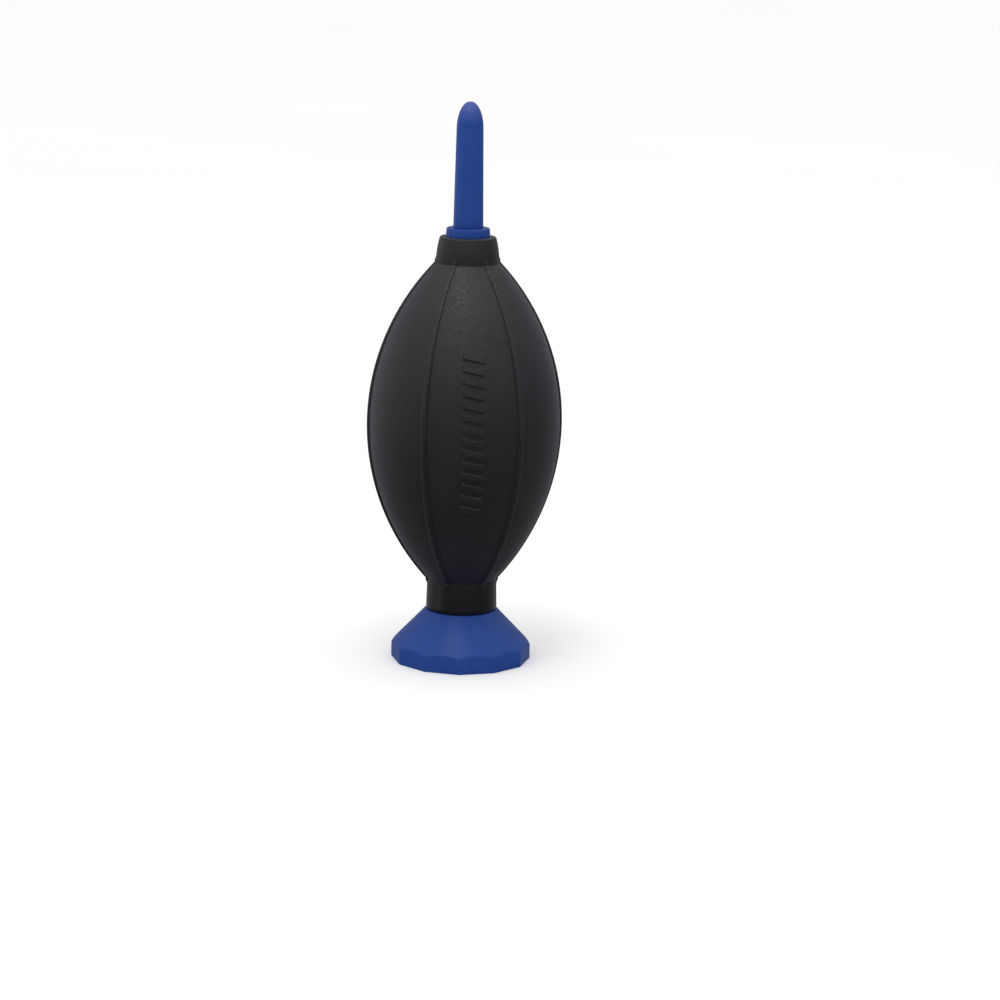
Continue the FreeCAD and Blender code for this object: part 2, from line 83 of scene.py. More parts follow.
# Ribs and grip bars on the bulb. A rib is half an ellipse across, fades out at its low and high ends, and
# is lower by its tapers' shares where the body ends
RIB_COUNT = 6
RIB_HALF_WIDTH = 1.05 * MM
RIB_HEIGHT = 0.9 * MM
RIB_ROUNDNESS = 0.5
RIB_NARROWING = 0.28
RIB_LOW_Z = 25.4 * MM
RIB_LOW_FADE = 1.8 * MM
RIB_LOW_TAPER = 0.2
RIB_HIGH_Z = 135.2 * MM
RIB_HIGH_FADE = 1.5 * MM
RIB_HIGH_TAPER = 0.5
GRIP_BAR_COUNT = 14
GRIP_BAR_PITCH = 3.8 * MM
GRIP_BAR_WIDTH = 6.4 * MM
GRIP_BAR_HEIGHT = 1.9 * MM
GRIP_BAR_SLOPE = -math.tan(math.radians(12.0))
GRIP_BAR_RELIEF = 0.62 * MM
GRIP_BAR_EDGE = 0.36 * MM
GRIP_COLUMN_Z = 81.0 * MM
GRIP_COLUMN_HALF = GRIP_BAR_COUNT * GRIP_BAR_PITCH / 2
GRIP_FADE = 4.0 * MM
GRIP_NARROWING_RADIUS = 24.0 * MM

# Rows and columns of the bulb's mesh. Rib columns are in half widths of a rib from its middle, inner grip
# columns in half widths of a bar from its middle, and ease steps in widths of a bar's edge from its middle
BULB_ROW_STEP = 0.8 * MM
NECK_EDGE_ROWS = 7
COLLAR_ROWS = 12
COLLAR_EDGE_ROWS = 5
BULB_INSIDE_ROWS = 28
PANEL_COLUMNS = 13
RIB_COLUMNS = np.array([0, 0.35, 0.65, 0.85, 0.95, 1.0, 1.12, 1.4, 1.9])
GRIP_SIDE_COLUMNS = 6
GRIP_INNER_COLUMNS = np.linspace(-0.8, 0.8, 7)
EASE_STEPS = np.array([-0.5, -0.2, 0.2, 0.5])

# The foot: outside, then the filter pocket and the spigot's socket
FOOT_SIDES = 12
FOOT_CORNER_RADIUS = 23.2 * MM
FOOT_CONE_RADIUS = 28.1 * MM
FOOT_TOP_RADIUS = 11.95 * MM
FOOT_EDGE = 0.35 * MM
FOOT_SHARPNESS = 0.15 * MM
SOCKET_RADIUS = 8.43 * MM
SOCKET_BOSS_RADIUS = 10.4 * MM
SOCKET_BOSS_Z = 9.6 * MM
LEDGE_RADIUS = 15.2 * MM
LEDGE_Z = 8.0 * MM
SKIRT_POCKET_RADIUS = 17.05 * MM
CAP_POCKET_RADIUS = 18.95 * MM
CAP_POCKET_Z = 3.05 * MM
LUG_POCKET_RADIUS = 18.35 * MM
LUG_POCKET_Z = (4.75 * MM, 6.65 * MM)
LUG_COUNT = 3
LUG_HALF_SPAN = math.radians(9.0)
CAP_TRAVEL = math.radians(40.0)

# Rows and columns of the foot's mesh. Wall rows are the lowest, the highest and how many. The scallop's
# rows go from below to above the lowest point of the scalloped edge between wall and cone, and the cone's
# rows start above that. Corner columns are in edge widths from a corner
FOOT_EDGE_ROWS = 5
WALL_ROWS = (1.3 * MM, 3.7 * MM, 4)
SCALLOP_BELOW = 0.6 * MM
SCALLOP_ABOVE = 1.5 * MM
SCALLOP_ROW_STEP = 0.09 * MM
CONE_START = 1.9 * MM
CONE_ROWS = 14
SIDE_COLUMNS = 14
CORNER_COLUMNS = np.array([0, 0.35, 0.7, 1.1, 1.6, 2.4])

# The outlet valve's spring
SPRING_RADIUS = 2.3 * MM
SPRING_WIRE_RADIUS = 0.2 * MM
SPRING_TURNS = 6
SPRING_END_TURNS = 0.9
SPRING_STEPS_PER_TURN = 40
SPRING_WIRE_SIDES = 10

# How far down from its tip the nozzle is paler with a painted highlight, and the heights between which the
# neck's painted shade and smoother finish turn into the bulb's
TIP_HIGHLIGHT_LENGTH = 7.0 * MM
NECK_SHADE_AND_GLOSS_LOW_Z = 22.0 * MM
NECK_SHADE_AND_GLOSS_HIGH_Z = 33.0 * MM

# The sky's strength round its brightest direction, a little forward of overhead, at its rim, and what is
# added to it behind the part
SKY_TOP = 1.41
SKY_RIM = 0.10
SKY_DIRECTION = (0, -0.17, 0.985)
SKY_BACK = 0.24

# One light over the front and two weak ones at the left: name, side in metres, power in watts and place.
# All of them face the part's middle
LIGHTS = (
    ("key", 0.4, 2.4, (-0.14, -0.42, 1.1)),
    ("left_strip", 0.5, 0.62, (-0.95, 0.55, 0.15)),
    ("left_fill", 0.35, 0.6, (-0.95, -0.22, 0.05)),
)
LIGHT_TARGET = (0, 0, 0.09)
FLOOR_SIZE = 12.0

# The camera: its place, and how it looks down, rolls and frames
CAMERA_BACK = 952.6 * MM
CAMERA_HEIGHT = 259.2 * MM
CAMERA_SIDE = 12.2 * MM
CAMERA_PITCH = math.radians(12.154)
CAMERA_ROLL = math.radians(1.22)
CAMERA_LENS = 105.8
CAMERA_SENSOR = 36.0
CAMERA_CLIP_START = 0.05


# Shapes

def grid_mesh(name, radius, angle, height):
    """A closed mesh from arrays of rows by columns: rows go once round the outline, columns round Z."""
    rows, columns = radius.shape
    x = radius * np.cos(angle)
    y = radius * np.sin(angle)
    points = np.stack([x, y, height], axis=-1).reshape(-1, 3)
    faces = []
    for i in range(rows):
        here = i * columns
        after = ((i + 1) % rows) * columns
        for j in range(columns):
            k = (j + 1) % columns
            faces.append((here + j, here + k, after + k, after + j))
    mesh = bpy.data.meshes.new(name)
    mesh.from_pydata(points.tolist(), [], faces)
    mesh.shade_smooth()
    mesh.set_sharp_from_angle(angle=SHARP_ANGLE)
    piece = bpy.data.objects.new(name, mesh)
    bpy.context.scene.collection.objects.link(piece)
    return piece


def arc_points(centre, radius, start, end, count):
    """Points (radius, height) along an arc between two angles in radians, both ends among them."""
    angles = np.linspace(start, end, count)
    return [(centre[0] + radius * math.cos(a), centre[1] + radius * math.sin(a)) for a in angles]


def line_points(start, end, step):
    """Points from start towards end, about a step apart, without the end."""
    count = max(1, round(math.dist(start, end) / step))
    run = end[0] - start[0]
    rise = end[1] - start[1]
    shares = np.linspace(0, 1, count, endpoint=False)
    return [(start[0] + run * t, start[1] + rise * t) for t in shares]


def smooth_step(x):
    """0 below 0, 1 above 1, and a smooth curve between."""
    t = np.clip(x, 0, 1)
    return t * t * (3 - 2 * t)


def bulb_arc_rise(radius, arc_radius):
    """How far above or below the bulb's middle an arc of it is at a given distance from the axis."""
    return math.sqrt(arc_radius ** 2 - (radius - BULB_ARC_CENTRE) ** 2)


def body_radius(height):
    """The body's radius at a height."""
    return BULB_ARC_CENTRE + np.sqrt(BULB_ARC_RADIUS ** 2 - (height - BULB_MIDDLE_Z) ** 2)


def body_ends():
    """The heights at which the bulb's body meets the neck and the collar."""
    low = BULB_MIDDLE_Z - bulb_arc_rise(NECK_RADIUS, BULB_ARC_RADIUS)
    high = BULB_MIDDLE_Z + bulb_arc_rise(COLLAR_RADIUS, BULB_ARC_RADIUS)
    return low, high


def edge_places(middle, half_size):
    """Places across both eased edges of a raised bar, in order."""
    ease = GRIP_BAR_EDGE * EASE_STEPS
    return np.concatenate([middle - half_size + ease, middle + half_size + ease])


def body_heights():
    """The heights of the rows over the bulb's body: even, and closer at the grip bars' edges."""
    low, high = body_ends()
    bottom = GRIP_COLUMN_Z - GRIP_COLUMN_HALF
    top = GRIP_COLUMN_Z + GRIP_COLUMN_HALF
    below = np.linspace(low, bottom, round((bottom - low) / BULB_ROW_STEP))
    above = np.linspace(top, high, round((high - top) / BULB_ROW_STEP))
    bars = []
    for i in range(GRIP_BAR_COUNT):
        middle = bottom + (i + 0.5) * GRIP_BAR_PITCH
        edges = edge_places(middle, GRIP_BAR_HEIGHT / 2)
        bars.append(np.sort(np.append(edges, [middle, middle + GRIP_BAR_PITCH / 2])))
    return np.concatenate([below, *bars[:-1], bars[-1][:-1], above])


def neck_outside():
    """The neck's outside from its end up to the body, as points (radius, height)."""
    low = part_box("bulb")[0].z
    edge_z = low + NECK_EDGE
    centre = (NECK_END_RADIUS - NECK_EDGE, edge_z)
    edge = arc_points(centre, NECK_EDGE, -math.pi / 2, 0, NECK_EDGE_ROWS)
    wall = line_points((NECK_END_RADIUS, edge_z), (NECK_RADIUS, body_ends()[0]), BULB_ROW_STEP)
    return edge + wall[1:]


def collar_outside():
    """The collar's outside from the body up to its rim, as points (radius, height)."""
    start = body_ends()[1]
    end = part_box("bulb")[1].z - COLLAR_EDGE
    wall = []
    for t in np.linspace(0, 1, COLLAR_ROWS)[1:]:
        straight = COLLAR_RADIUS + (COLLAR_TOP_RADIUS - COLLAR_RADIUS) * t
        wall.append((straight + COLLAR_BULGE * 4 * t * (1 - t), start + (end - start) * t))
    centre = (COLLAR_TOP_RADIUS - COLLAR_EDGE, end)
    edge = arc_points(centre, COLLAR_EDGE, 0, math.pi / 2, COLLAR_EDGE_ROWS)
    return wall + edge[1:]


def bulb_inside():
    """The bulb's inside from the collar's rim down to the neck's end, as points (radius, height)."""
    low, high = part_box("bulb")
    inner_arc = BULB_ARC_RADIUS - BULB_WALL
    centre = (BULB_ARC_CENTRE, BULB_MIDDLE_Z)
    top = math.asin(bulb_arc_rise(COLLAR_BORE, inner_arc) / inner_arc)
    bottom = -math.asin(bulb_arc_rise(NECK_BORE, inner_arc) / inner_arc)
    hollow = arc_points(centre, inner_arc, top, bottom, BULB_INSIDE_ROWS)
    return [(COLLAR_BORE, high.z), *hollow, (NECK_BORE, low.z)]


def toward_collar(height):
    """0 at the bulb's middle and below it, and 1 where its body meets the collar."""
    return np.clip((height - BULB_MIDDLE_Z) / (body_ends()[1] - BULB_MIDDLE_Z), 0, None)


def rib_half_width(height):
    """Half a rib's width, which narrows towards the collar."""
    return RIB_HALF_WIDTH * (1 - RIB_NARROWING * np.clip(toward_collar(height), 0, 1) ** 2)


def bulb_columns(radius, height):
    """Angles for each row of the bulb: close together at the ribs and the grip bars' ends."""
    near_rib = rib_half_width(height) * RIB_COLUMNS
    bar_ends = edge_places(0, GRIP_BAR_WIDTH / 2)
    across_bar = np.sort(np.append(bar_ends, GRIP_INNER_COLUMNS * GRIP_BAR_WIDTH / 2))
    pitch = TURN / RIB_COUNT
    left = near_rib / radius
    right = pitch - near_rib[:, :0:-1] / radius
    bars = pitch / 2 + across_bar * np.minimum(1, radius / GRIP_NARROWING_RADIUS) / radius

    def between(start, end, count):
        return start + (end - start) * np.linspace(0, 1, count + 2)[1:-1]

    plain = [between(left[:, -1:], right[:, :1], PANEL_COLUMNS)]
    grip = [between(left[:, -1:], bars[:, :1], GRIP_SIDE_COLUMNS), bars,
            between(bars[:, -1:], right[:, :1], GRIP_SIDE_COLUMNS)]
    columns = []
    for i in range(RIB_COUNT):
        middle = plain if i % (RIB_COUNT // 2) else grip
        columns.append(BULB_FRONT + (i - 0.5) * pitch + np.concatenate([left, *middle, right], axis=1))
    return np.concatenate(columns, axis=1)


def rib_lift(angle, radius, height):
    """How far the ribs raise the bulb's surface: rounded beads, lower and fading out towards their ends."""
    pitch = TURN / RIB_COUNT
    from_rib = np.abs((angle - BULB_FRONT) % pitch - pitch / 2) * radius
    bead = np.clip(1 - (from_rib / rib_half_width(height)) ** 2, 0, 1) ** RIB_ROUNDNESS
    below = np.clip((BULB_MIDDLE_Z - height) / (BULB_MIDDLE_Z - body_ends()[0]), 0, None)
    taper = RIB_HIGH_TAPER * toward_collar(height) ** 2 + RIB_LOW_TAPER * below ** 2
    low_end = smooth_step((height - RIB_LOW_Z) / RIB_LOW_FADE)
    high_end = smooth_step((RIB_HIGH_Z - height) / RIB_HIGH_FADE)
    return RIB_HEIGHT * bead * np.clip(1 - taper, 0, 1) * low_end * high_end


def grip_lift(across, height):
    """How far the grip bars raise the bulb's surface, before they slope: across is the distance from the
    middle of the front or the back."""
    in_width = smooth_step((GRIP_BAR_WIDTH / 2 - np.abs(across)) / GRIP_BAR_EDGE + 0.5)
    from_bar = np.abs((height - GRIP_COLUMN_Z + GRIP_COLUMN_HALF) % GRIP_BAR_PITCH - GRIP_BAR_PITCH / 2)
    in_bar = smooth_step((GRIP_BAR_HEIGHT / 2 - from_bar) / GRIP_BAR_EDGE + 0.5)
    in_column = np.abs(height - GRIP_COLUMN_Z) < GRIP_COLUMN_HALF
    return GRIP_BAR_RELIEF * in_width * in_bar * in_column


def grip_slope(across, height):
    """How far points move up or down to slope the grip bars, less and less beside and past their column."""
    beside = smooth_step((np.abs(across) - GRIP_BAR_WIDTH / 2 - GRIP_BAR_EDGE) / GRIP_FADE)
    past = smooth_step((np.abs(height - GRIP_COLUMN_Z) - GRIP_COLUMN_HALF) / GRIP_FADE)
    return across * GRIP_BAR_SLOPE * ((1 - beside) * (1 - past))


def bulb_skin():
    """The rubber bulb: a turned wall with six rounded ribs and a column of grip bars front and back."""
    neck = neck_outside()
    body = [(body_radius(z), z) for z in body_heights()]
    collar = collar_outside()
    outline = np.array(neck + body + collar + bulb_inside())
    in_body = np.zeros((len(outline), 1), bool)
    in_body[len(neck):len(neck) + len(body)] = True
    radius, height = outline[:, :1], outline[:, 1:]
    angle = bulb_columns(radius, height)
    across = ((angle - BULB_FRONT + TURN / 4) % (TURN / 2) - TURN / 4) * radius
    lift = np.maximum(grip_lift(across, height), rib_lift(angle, radius, height))
    lift[len(neck) + len(body) + len(collar):] = 0

    tangent = np.roll(outline, -1, axis=0) - np.roll(outline, 1, axis=0)
    tangent /= np.linalg.norm(tangent, axis=1, keepdims=True)
    sloped = height + grip_slope(across, height)
    radius = np.where(in_body, body_radius(sloped), radius)
    out = np.where(in_body, (radius - BULB_ARC_CENTRE) / BULB_ARC_RADIUS, tangent[:, 1:])
    up = np.where(in_body, (sloped - BULB_MIDDLE_Z) / BULB_ARC_RADIUS, -tangent[:, :1])
    return grid_mesh("bulb_skin", radius + out * lift, angle, sloped + up * lift)


def foot_wall_radius(angle):
    """The twelve-sided wall's distance from the axis, eased at each corner."""
    half_side = math.pi / FOOT_SIDES
    flat = FOOT_CORNER_RADIUS * math.cos(half_side)
    from_corner = np.abs((angle + half_side) % (2 * half_side) - half_side)
    corner_cut = FOOT_EDGE * (1 / math.cos(half_side) - 1)
    eased = corner_cut * np.exp(-(from_corner * FOOT_CORNER_RADIUS / FOOT_EDGE) ** 2)
    return flat / np.cos(half_side - from_corner) - eased


def foot_pocket(angle):
    """The foot's inside from the socket's mouth to the underside, as (radius, height): the radius is one
    number, or one for each angle where the cap's lugs lock and enter."""
    from_lug = (angle + LUG_HALF_SPAN) % (TURN / LUG_COUNT)
    in_groove = from_lug < CAP_TRAVEL + 2 * LUG_HALF_SPAN
    in_entry = in_groove & (from_lug > CAP_TRAVEL)
    groove = np.where(in_groove, LUG_POCKET_RADIUS, SKIRT_POCKET_RADIUS)
    entry = np.where(in_entry, LUG_POCKET_RADIUS, SKIRT_POCKET_RADIUS)
    low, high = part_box("foot_shell")
    lug_low, lug_high = LUG_POCKET_Z
    return [
        (SOCKET_RADIUS, high.z),
        (SOCKET_RADIUS, SOCKET_BOSS_Z),
        (SOCKET_BOSS_RADIUS, SOCKET_BOSS_Z),
        (SOCKET_BOSS_RADIUS, LEDGE_Z + LEDGE_RADIUS - SOCKET_BOSS_RADIUS),
        (LEDGE_RADIUS, LEDGE_Z),
        (SKIRT_POCKET_RADIUS, LEDGE_Z),
        (SKIRT_POCKET_RADIUS, lug_high),
        (groove, lug_high),
        (groove, lug_low),
        (entry, lug_low),
        (entry, CAP_POCKET_Z),
        (CAP_POCKET_RADIUS, CAP_POCKET_Z),
        (CAP_POCKET_RADIUS, low.z),
    ]


def foot_skin():
    """The foot: outside, the lesser of the wall and the cone with a small round between them; inside, the
    filter's pocket and the spigot's socket."""
    low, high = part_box("foot_shell")
    side = TURN / FOOT_SIDES
    near_corner = FOOT_EDGE * CORNER_COLUMNS / FOOT_CORNER_RADIUS
    middle = np.linspace(near_corner[-1], side - near_corner[-1], SIDE_COLUMNS)[1:-1]
    one_side = np.concatenate([near_corner, middle, (side - near_corner)[:0:-1]])
    angle = np.concatenate([one_side + i * side for i in range(FOOT_SIDES)])
    wall = foot_wall_radius(angle)
    rows = []
    for a in np.linspace(0, math.pi / 2, FOOT_EDGE_ROWS):
        rows.append((wall - FOOT_EDGE * (1 - math.sin(a)), low.z + FOOT_EDGE * (1 - math.cos(a))))
    spread = (FOOT_CONE_RADIUS - FOOT_TOP_RADIUS) / (high.z - low.z)
    scallop_z = high.z - (FOOT_CORNER_RADIUS - FOOT_TOP_RADIUS) / spread
    heights = np.concatenate([
        np.linspace(*WALL_ROWS),
        np.arange(scallop_z - SCALLOP_BELOW, scallop_z + SCALLOP_ABOVE, SCALLOP_ROW_STEP),
        np.linspace(scallop_z + CONE_START, high.z, CONE_ROWS),
    ])
    for z in heights:
        gap = (FOOT_TOP_RADIUS + (high.z - z) * spread - wall) / FOOT_SHARPNESS
        rows.append((wall - FOOT_SHARPNESS * np.logaddexp(0, -gap), z))
    rows += foot_pocket(angle)
    radius = np.array([np.broadcast_to(r, angle.shape) for r, z in rows])
    height = np.array([np.broadcast_to(z, angle.shape) for r, z in rows])
    return grid_mesh("foot_skin", radius, np.broadcast_to(angle, radius.shape), height)


def spring_coil():
    """The outlet valve's spring: a helix of round wire whose end turns lie flat."""
    low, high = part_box("outlet_valve_spring")
    steps = SPRING_TURNS * SPRING_STEPS_PER_TURN
    around_wire = np.linspace(0, TURN, SPRING_WIRE_SIDES, endpoint=False)
    turns = np.linspace(0, 1, steps + 1) * SPRING_TURNS
    climb = smooth_step((turns - SPRING_END_TURNS / 2) / (SPRING_TURNS - SPRING_END_TURNS))
    span = high.z - low.z - 2 * SPRING_WIRE_RADIUS
    along = np.clip((turns - SPRING_END_TURNS) / (SPRING_TURNS - 2 * SPRING_END_TURNS), 0, 1)
    wire_z = low.z + SPRING_WIRE_RADIUS + span * (0.5 * along + 0.5 * climb)
    points = []
    for turn, z in zip(turns * TURN, wire_z):
        for a in around_wire:
            r = SPRING_RADIUS + SPRING_WIRE_RADIUS * math.cos(a)
            points.append((r * math.cos(turn), r * math.sin(turn), z + SPRING_WIRE_RADIUS * math.sin(a)))
    count = SPRING_WIRE_SIDES
    faces = [tuple(range(count)), tuple(range(steps * count, steps * count + count))[::-1]]
    for i in range(steps):
        for j in range(count):
            k = (j + 1) % count
            faces.append((i * count + j, (i + 1) * count + j, (i + 1) * count + k, i * count + k))
    mesh = bpy.data.meshes.new("spring_coil")
    mesh.from_pydata(points, [], faces)
    mesh.shade_smooth()
    piece = bpy.data.objects.new("spring_coil", mesh)
    bpy.context.scene.collection.objects.link(piece)
    return piece


# Materials

class Surface:
    """A material being built: its node tree, its shader and the object's own coordinates."""

    def __init__(self, name, roughness, **constants):
        self.material = bpy.data.materials.new(name)
        self.material.use_nodes = True
        self.tree = self.material.node_tree
        self.shader = self.tree.nodes["Principled BSDF"]
        self.shader.inputs["Roughness"].default_value = roughness
        for socket, value in constants.items():
            self.shader.inputs[socket.replace("_", " ")].default_value = value
        self.place = self.tree.nodes.new("ShaderNodeTexCoord").outputs["Object"]

    def node(self, kind, values=(), links=()):
        """Adds a node, sets its named inputs and links others to them."""
        made = self.tree.nodes.new(kind)
        for socket, value in dict(values).items():
            made.inputs[socket].default_value = value
        for socket, source in dict(links).items():
            self.tree.links.new(source, made.inputs[socket])
        return made

    def noise(self, scale, detail=2.0, roughness=0.5, stretch=(1, 1, 1)):
        """Noise over the object, with its scale in features per metre."""
        spread = self.node("ShaderNodeMapping", {"Scale": stretch}, {"Vector": self.place})
        values = {"Scale": scale, "Detail": detail, "Roughness": roughness}
        return self.node("ShaderNodeTexNoise", values, {"Vector": spread.outputs["Vector"]}).outputs["Fac"]

    def height(self):
        """The height above the object's origin."""
        return self.node("ShaderNodeSeparateXYZ", (), {"Vector": self.place}).outputs["Z"]

    def remap(self, source, low, high, start=0.3, end=0.7):
        """Takes start to low and end to high."""
        values = {"From Min": start, "From Max": end, "To Min": low, "To Max": high}
        return self.node("ShaderNodeMapRange", values, {"Value": source}).outputs["Result"]

    def multiply(self, first, second):
        """The product of two values."""
        made = self.tree.nodes.new("ShaderNodeMath")
        made.operation = "MULTIPLY"
        self.tree.links.new(first, made.inputs[0])
        self.tree.links.new(second, made.inputs[1])
        return made.outputs["Value"]

    def mix_colour(self, factor, first, second):
        """A colour between two, by a factor."""
        ramp = self.tree.nodes.new("ShaderNodeMix")
        ramp.data_type = "RGBA"
        sockets = {socket.identifier: socket for socket in ramp.inputs}
        self.tree.links.new(factor, sockets["Factor_Float"])
        for name, colour in (("A_Color", first), ("B_Color", second)):
            if isinstance(colour, tuple):
                sockets[name].default_value = (*colour, 1)
            else:
                self.tree.links.new(colour, sockets[name])
        return [socket for socket in ramp.outputs if socket.identifier == "Result_Color"][0]

    def colour(self, source):
        """Gives the shader its colour."""
        self.tree.links.new(source, self.shader.inputs["Base Color"])

    def roughness(self, source):
        """Gives the shader its roughness."""
        self.tree.links.new(source, self.shader.inputs["Roughness"])

    def bump(self, *layers):
        """Bumps in turn, each a pair of a height from 0 to 1 and its depth in metres."""
        before = None
        for height, depth in layers:
            bump = self.node("ShaderNodeBump", {"Strength": 1.0, "Distance": depth}, {"Height": height})
            if before:
                self.tree.links.new(before, bump.inputs["Normal"])
            before = bump.outputs["Normal"]
        self.tree.links.new(before, self.shader.inputs["Normal"])


def blue_plastic():
    """Satin moulded plastic: a little colour drift, fine moulded grain, faint rub marks and a painted
    highlight at the tip.
    """
    deep = (0.0118, 0.0455, 0.229)
    bright = (0.0148, 0.052, 0.250)
    rubbed = (0.034, 0.085, 0.31)
    # A paler blue: the painted highlight on the nozzle's tip
    painted_tip_highlight = (0.062, 0.092, 0.32)
    surface = Surface("blue_plastic", 0.36, Specular_IOR_Level=0.16)
    drift = surface.noise(70, detail=3)
    grain = surface.noise(2600)
    rubs = surface.noise(180, detail=5, roughness=0.65, stretch=(1, 1, 0.12))
    base = surface.mix_colour(surface.remap(drift, 0, 1), deep, bright)
    worn = surface.mix_colour(surface.remap(rubs, 0, 0.35, start=0.58, end=0.8), base, rubbed)
    tip_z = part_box("nozzle")[1].z
    # Painted highlight: the nozzle's top few millimetres are paler, in place of the light the tip catches
    tip_highlight = surface.remap(surface.height(), 0, 1, start=tip_z - TIP_HIGHLIGHT_LENGTH, end=tip_z)
    surface.colour(surface.mix_colour(tip_highlight, worn, painted_tip_highlight))
    surface.roughness(surface.remap(surface.noise(420, detail=4, roughness=0.6), 0.32, 0.44))
    surface.bump((drift, 0.02 * MM), (grain, 0.006 * MM))
    return surface.material


def black_rubber():
    """Matt moulded rubber: fine grain, faint cloudy patches and a trace of pale bloom; smoother where the
    neck is stretched over its barbs, with painted shade darkening the neck."""
    deep = (0.0044, 0.0040, 0.0078)
    cloudy = (0.0066, 0.0060, 0.0106)
    bloomed = (0.020, 0.0195, 0.023)
    # The darker colour of the painted shade on the neck
    painted_neck_shade = (0.0022, 0.0020, 0.0038)
    surface = Surface("black_rubber", 0.6, Specular_IOR_Level=0.49, Sheen_Weight=0.08, Sheen_Roughness=0.45)
    surface.shader.inputs["Sheen Tint"].default_value = (0.75, 0.75, 0.95, 1)
    cloud = surface.noise(55, detail=4, roughness=0.55)
    grain = surface.noise(2300, detail=3, roughness=0.6)
    speck = surface.noise(5200)
    base = surface.mix_colour(surface.remap(cloud, 0, 1), deep, cloudy)
    bloom = surface.mix_colour(surface.remap(grain, 0, 0.5, start=0.5, end=0.8), base, bloomed)
    # Painted shade: the neck's colour is darkened towards the foot, and its roughness is lowered there too
    neck = surface.remap(surface.height(), 1, 0, start=NECK_SHADE_AND_GLOSS_LOW_Z, end=NECK_SHADE_AND_GLOSS_HIGH_Z)
    surface.colour(surface.mix_colour(neck, bloom, painted_neck_shade))
    matt = surface.remap(surface.noise(900, detail=3), 0.50, 0.68)
    smoothing = surface.remap(neck, 1, 0.68, start=0, end=1)
    surface.roughness(surface.multiply(matt, smoothing))
    surface.bump((cloud, 0.05 * MM), (grain, 0.028 * MM), (speck, 0.008 * MM))
    return surface.material


def grey_plastic():
    """Matt valve plastic."""
    surface = Surface("grey_plastic", 0.5, IOR=1.5)
    drift = surface.remap(surface.noise(300, detail=3), 0, 1)
    surface.colour(surface.mix_colour(drift, (0.26, 0.27, 0.29), (0.33, 0.34, 0.36)))
    surface.roughness(surface.remap(surface.noise(900, detail=3), 0.42, 0.58))
    surface.bump((surface.noise(4000), 0.006 * MM))
    return surface.material


def clear_silicone():
    """Cloudy soft silicone."""
    surface = Surface("clear_silicone", 0.4, IOR=1.42, Subsurface_Weight=0.3, Subsurface_Scale=0.002)
    drift = surface.remap(surface.noise(500, detail=3), 0, 1)
    surface.colour(surface.mix_colour(drift, (0.58, 0.60, 0.59), (0.68, 0.70, 0.69)))
    surface.roughness(surface.remap(surface.noise(1500), 0.32, 0.5))
    surface.bump((surface.noise(3000), 0.005 * MM))
    return surface.material


def seal_rubber():
    """Smooth black seal rubber, with a trace of talc."""
    surface = Surface("seal_rubber", 0.5, IOR=1.5)
    talc = surface.remap(surface.noise(1200, detail=4, roughness=0.6), 0, 1, start=0.5, end=0.8)
    surface.colour(surface.mix_colour(talc, (0.02, 0.02, 0.021), (0.06, 0.06, 0.058)))
    surface.roughness(surface.remap(surface.noise(1800), 0.4, 0.6))
    surface.bump((surface.noise(5000), 0.006 * MM))
    return surface.material


def filter_sheet():
    """Felted filter sheet: short fibres and a slight grey where air has passed."""
    surface = Surface("filter_sheet", 0.9, Sheen_Weight=0.2)
    fibres = surface.noise(1600, detail=5, roughness=0.7, stretch=(1, 0.2, 1))
    dust = surface.remap(surface.noise(220, detail=4), 0, 0.5, start=0.45, end=0.8)
    clean = surface.mix_colour(surface.remap(fibres, 0, 1), (0.66, 0.65, 0.60), (0.84, 0.83, 0.78))
    surface.colour(surface.mix_colour(dust, clean, (0.38, 0.37, 0.35)))
    surface.roughness(surface.remap(fibres, 0.82, 0.98))
    surface.bump((fibres, 0.06 * MM), (surface.noise(6000), 0.02 * MM))
    return surface.material


def filter_mesh():
    """Dark moulded screen."""
    surface = Surface("filter_mesh", 0.5)
    drift = surface.remap(surface.noise(700, detail=3), 0, 1)
    surface.colour(surface.mix_colour(drift, (0.028, 0.028, 0.030), (0.05, 0.05, 0.053)))
    surface.roughness(surface.remap(surface.noise(2500), 0.42, 0.6))
    surface.bump((surface.noise(5000), 0.006 * MM))
    return surface.material


def spring_steel():
    """Drawn wire with fine lines round it."""
    surface = Surface("spring_steel", 0.28, Metallic=1.0)
    lines = surface.noise(1500, detail=3, stretch=(1, 1, 6))
    surface.colour(surface.mix_colour(surface.remap(lines, 0, 1), (0.50, 0.50, 0.51), (0.62, 0.62, 0.62)))
    surface.roughness(surface.remap(lines, 0.2, 0.36))
    surface.bump((lines, 0.004 * MM))
    return surface.material


def dress_nodes(materials):
    """Gives every CAD node the material of its slot in the record."""
    for subpart in frame["record"]["subparts"]:
        node = frame["nodes"][subpart["node"]]
        node.data.materials.clear()
        node.data.materials.append(materials[subpart["material_slot"]])


def place_piece(piece, material, node):
    """Gives a piece its material and hides the CAD node that it stands for."""
    piece.data.materials.append(material)
    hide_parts(node)


# Studio

def pale_floor():
    """A plain pale floor that reaches past the camera's view."""
    bpy.ops.mesh.primitive_plane_add(size=FLOOR_SIZE)
    floor = bpy.context.active_object
    floor.name = "floor"
    surface = Surface("floor", 0.85)
    shade = surface.remap(surface.noise(3), 0, 1)
    surface.colour(surface.mix_colour(shade, (0.945, 0.945, 0.945), (0.96, 0.96, 0.96)))
    floor.data.materials.append(surface.material)
    floor.visible_glossy = False


def soft_light(name, size, energy, place):
    """A square area light that faces the part's middle."""
    light = bpy.data.lights.new(name, "AREA")
    light.shape = "SQUARE"
    light.size = size
    light.energy = energy
    lamp = bpy.data.objects.new(name, light)
    lamp.location = place
    away = Vector(place) - Vector(LIGHT_TARGET)
    lamp.rotation_euler = away.to_track_quat("Z", "Y").to_euler()
    bpy.context.scene.collection.objects.link(lamp)


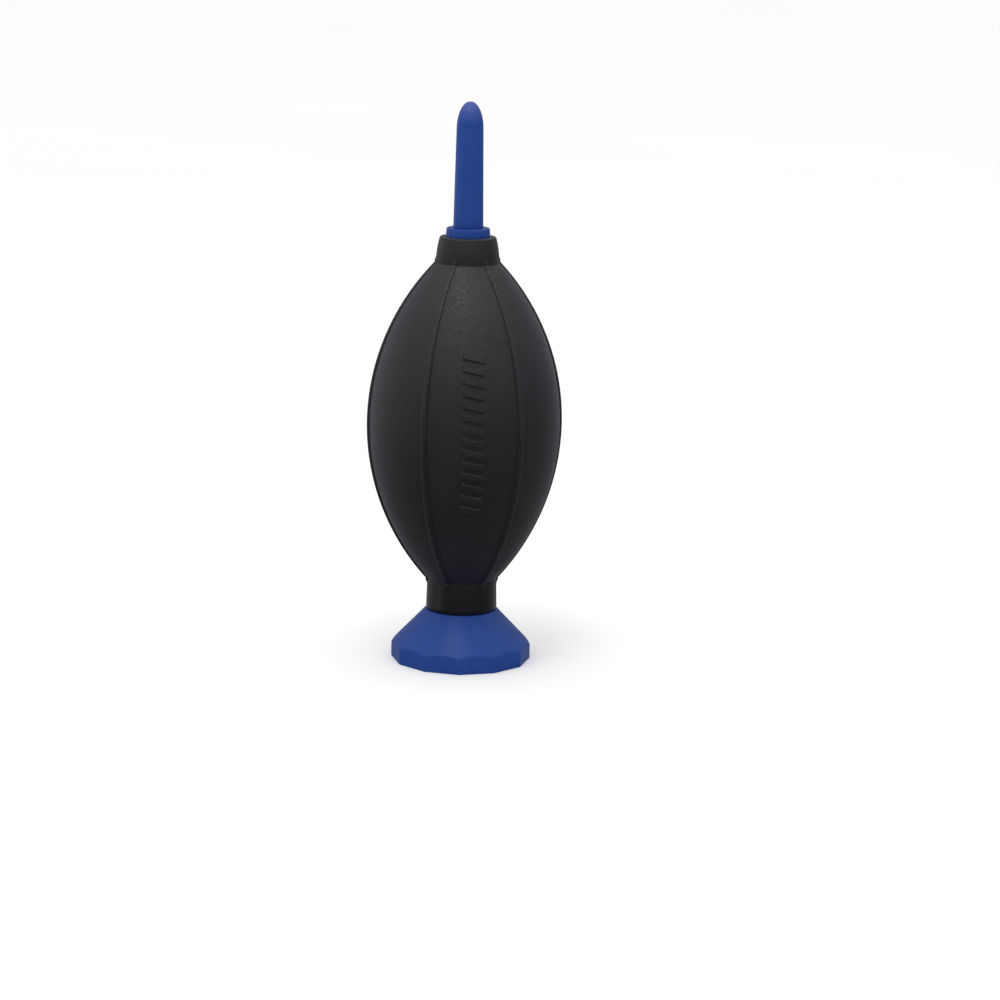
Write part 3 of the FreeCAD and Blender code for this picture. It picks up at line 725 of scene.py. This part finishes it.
def sky():
    """A soft sky, bright overhead and pale behind, which the camera itself sees as white."""
    world = bpy.data.worlds.new("studio")
    world.use_nodes = True
    nodes = world.node_tree.nodes
    link = world.node_tree.links.new
    direction = nodes.new("ShaderNodeTexCoord")
    toward_top = nodes.new("ShaderNodeVectorMath")
    toward_top.operation = "DOT_PRODUCT"
    toward_top.inputs[1].default_value = SKY_DIRECTION
    parts = nodes.new("ShaderNodeSeparateXYZ")
    both = nodes.new("ShaderNodeMath")
    both.operation = "ADD"
    link(direction.outputs["Generated"], toward_top.inputs[0])
    link(direction.outputs["Generated"], parts.inputs["Vector"])
    sources = ((toward_top.outputs["Value"], SKY_RIM, SKY_TOP), (parts.outputs["Y"], 0, SKY_BACK))
    for i, (source, low, high) in enumerate(sources):
        rise = nodes.new("ShaderNodeMapRange")
        rise.interpolation_type = "SMOOTHSTEP"
        rise.inputs["To Min"].default_value = low
        rise.inputs["To Max"].default_value = high
        link(source, rise.inputs["Value"])
        link(rise.outputs["Result"], both.inputs[i])
    shown = nodes.new("ShaderNodeMath")
    shown.operation = "MAXIMUM"
    link(both.outputs["Value"], shown.inputs[0])
    link(nodes.new("ShaderNodeLightPath").outputs["Is Camera Ray"], shown.inputs[1])
    link(shown.outputs["Value"], nodes["Background"].inputs["Strength"])
    nodes["Background"].inputs["Color"].default_value = (1, 1, 1, 1)
    bpy.context.scene.world = world


def camera():
    """The camera, at the view's own angle, with no shift and no depth of field."""
    data = bpy.data.cameras.new("camera")
    data.lens = CAMERA_LENS
    data.sensor_width = CAMERA_SENSOR
    data.clip_start = CAMERA_CLIP_START
    eye = bpy.data.objects.new("camera", data)
    tilt = Matrix.Rotation(math.pi / 2 - CAMERA_PITCH, 4, "X")
    roll = Matrix.Rotation(CAMERA_ROLL, 4, "Z")
    eye.matrix_world = Matrix.Translation((CAMERA_SIDE, -CAMERA_BACK, CAMERA_HEIGHT)) @ tilt @ roll
    bpy.context.scene.collection.objects.link(eye)
    bpy.context.scene.camera = eye


# The scene: a material for each slot of the record, by the slot's name, then the pieces and the studio

MAKERS = (
    blue_plastic, black_rubber, grey_plastic, clear_silicone, seal_rubber, filter_sheet, filter_mesh,
    spring_steel,
)
MATERIALS = {make.__name__: make() for make in MAKERS}
dress_nodes(MATERIALS)

foot = foot_skin()
place_piece(foot, MATERIALS["blue_plastic"], "foot_shell")
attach(foot, "foot")

skin = bulb_skin()
place_piece(skin, MATERIALS["black_rubber"], "bulb")
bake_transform(skin)

coil = spring_coil()
place_piece(coil, MATERIALS["spring_steel"], "outlet_valve_spring")
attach(coil, "plug")
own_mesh(coil)

pale_floor()
sky()
for light in LIGHTS:
    soft_light(*light)
camera()
bpy.context.scene.view_settings.view_transform = "Standard"
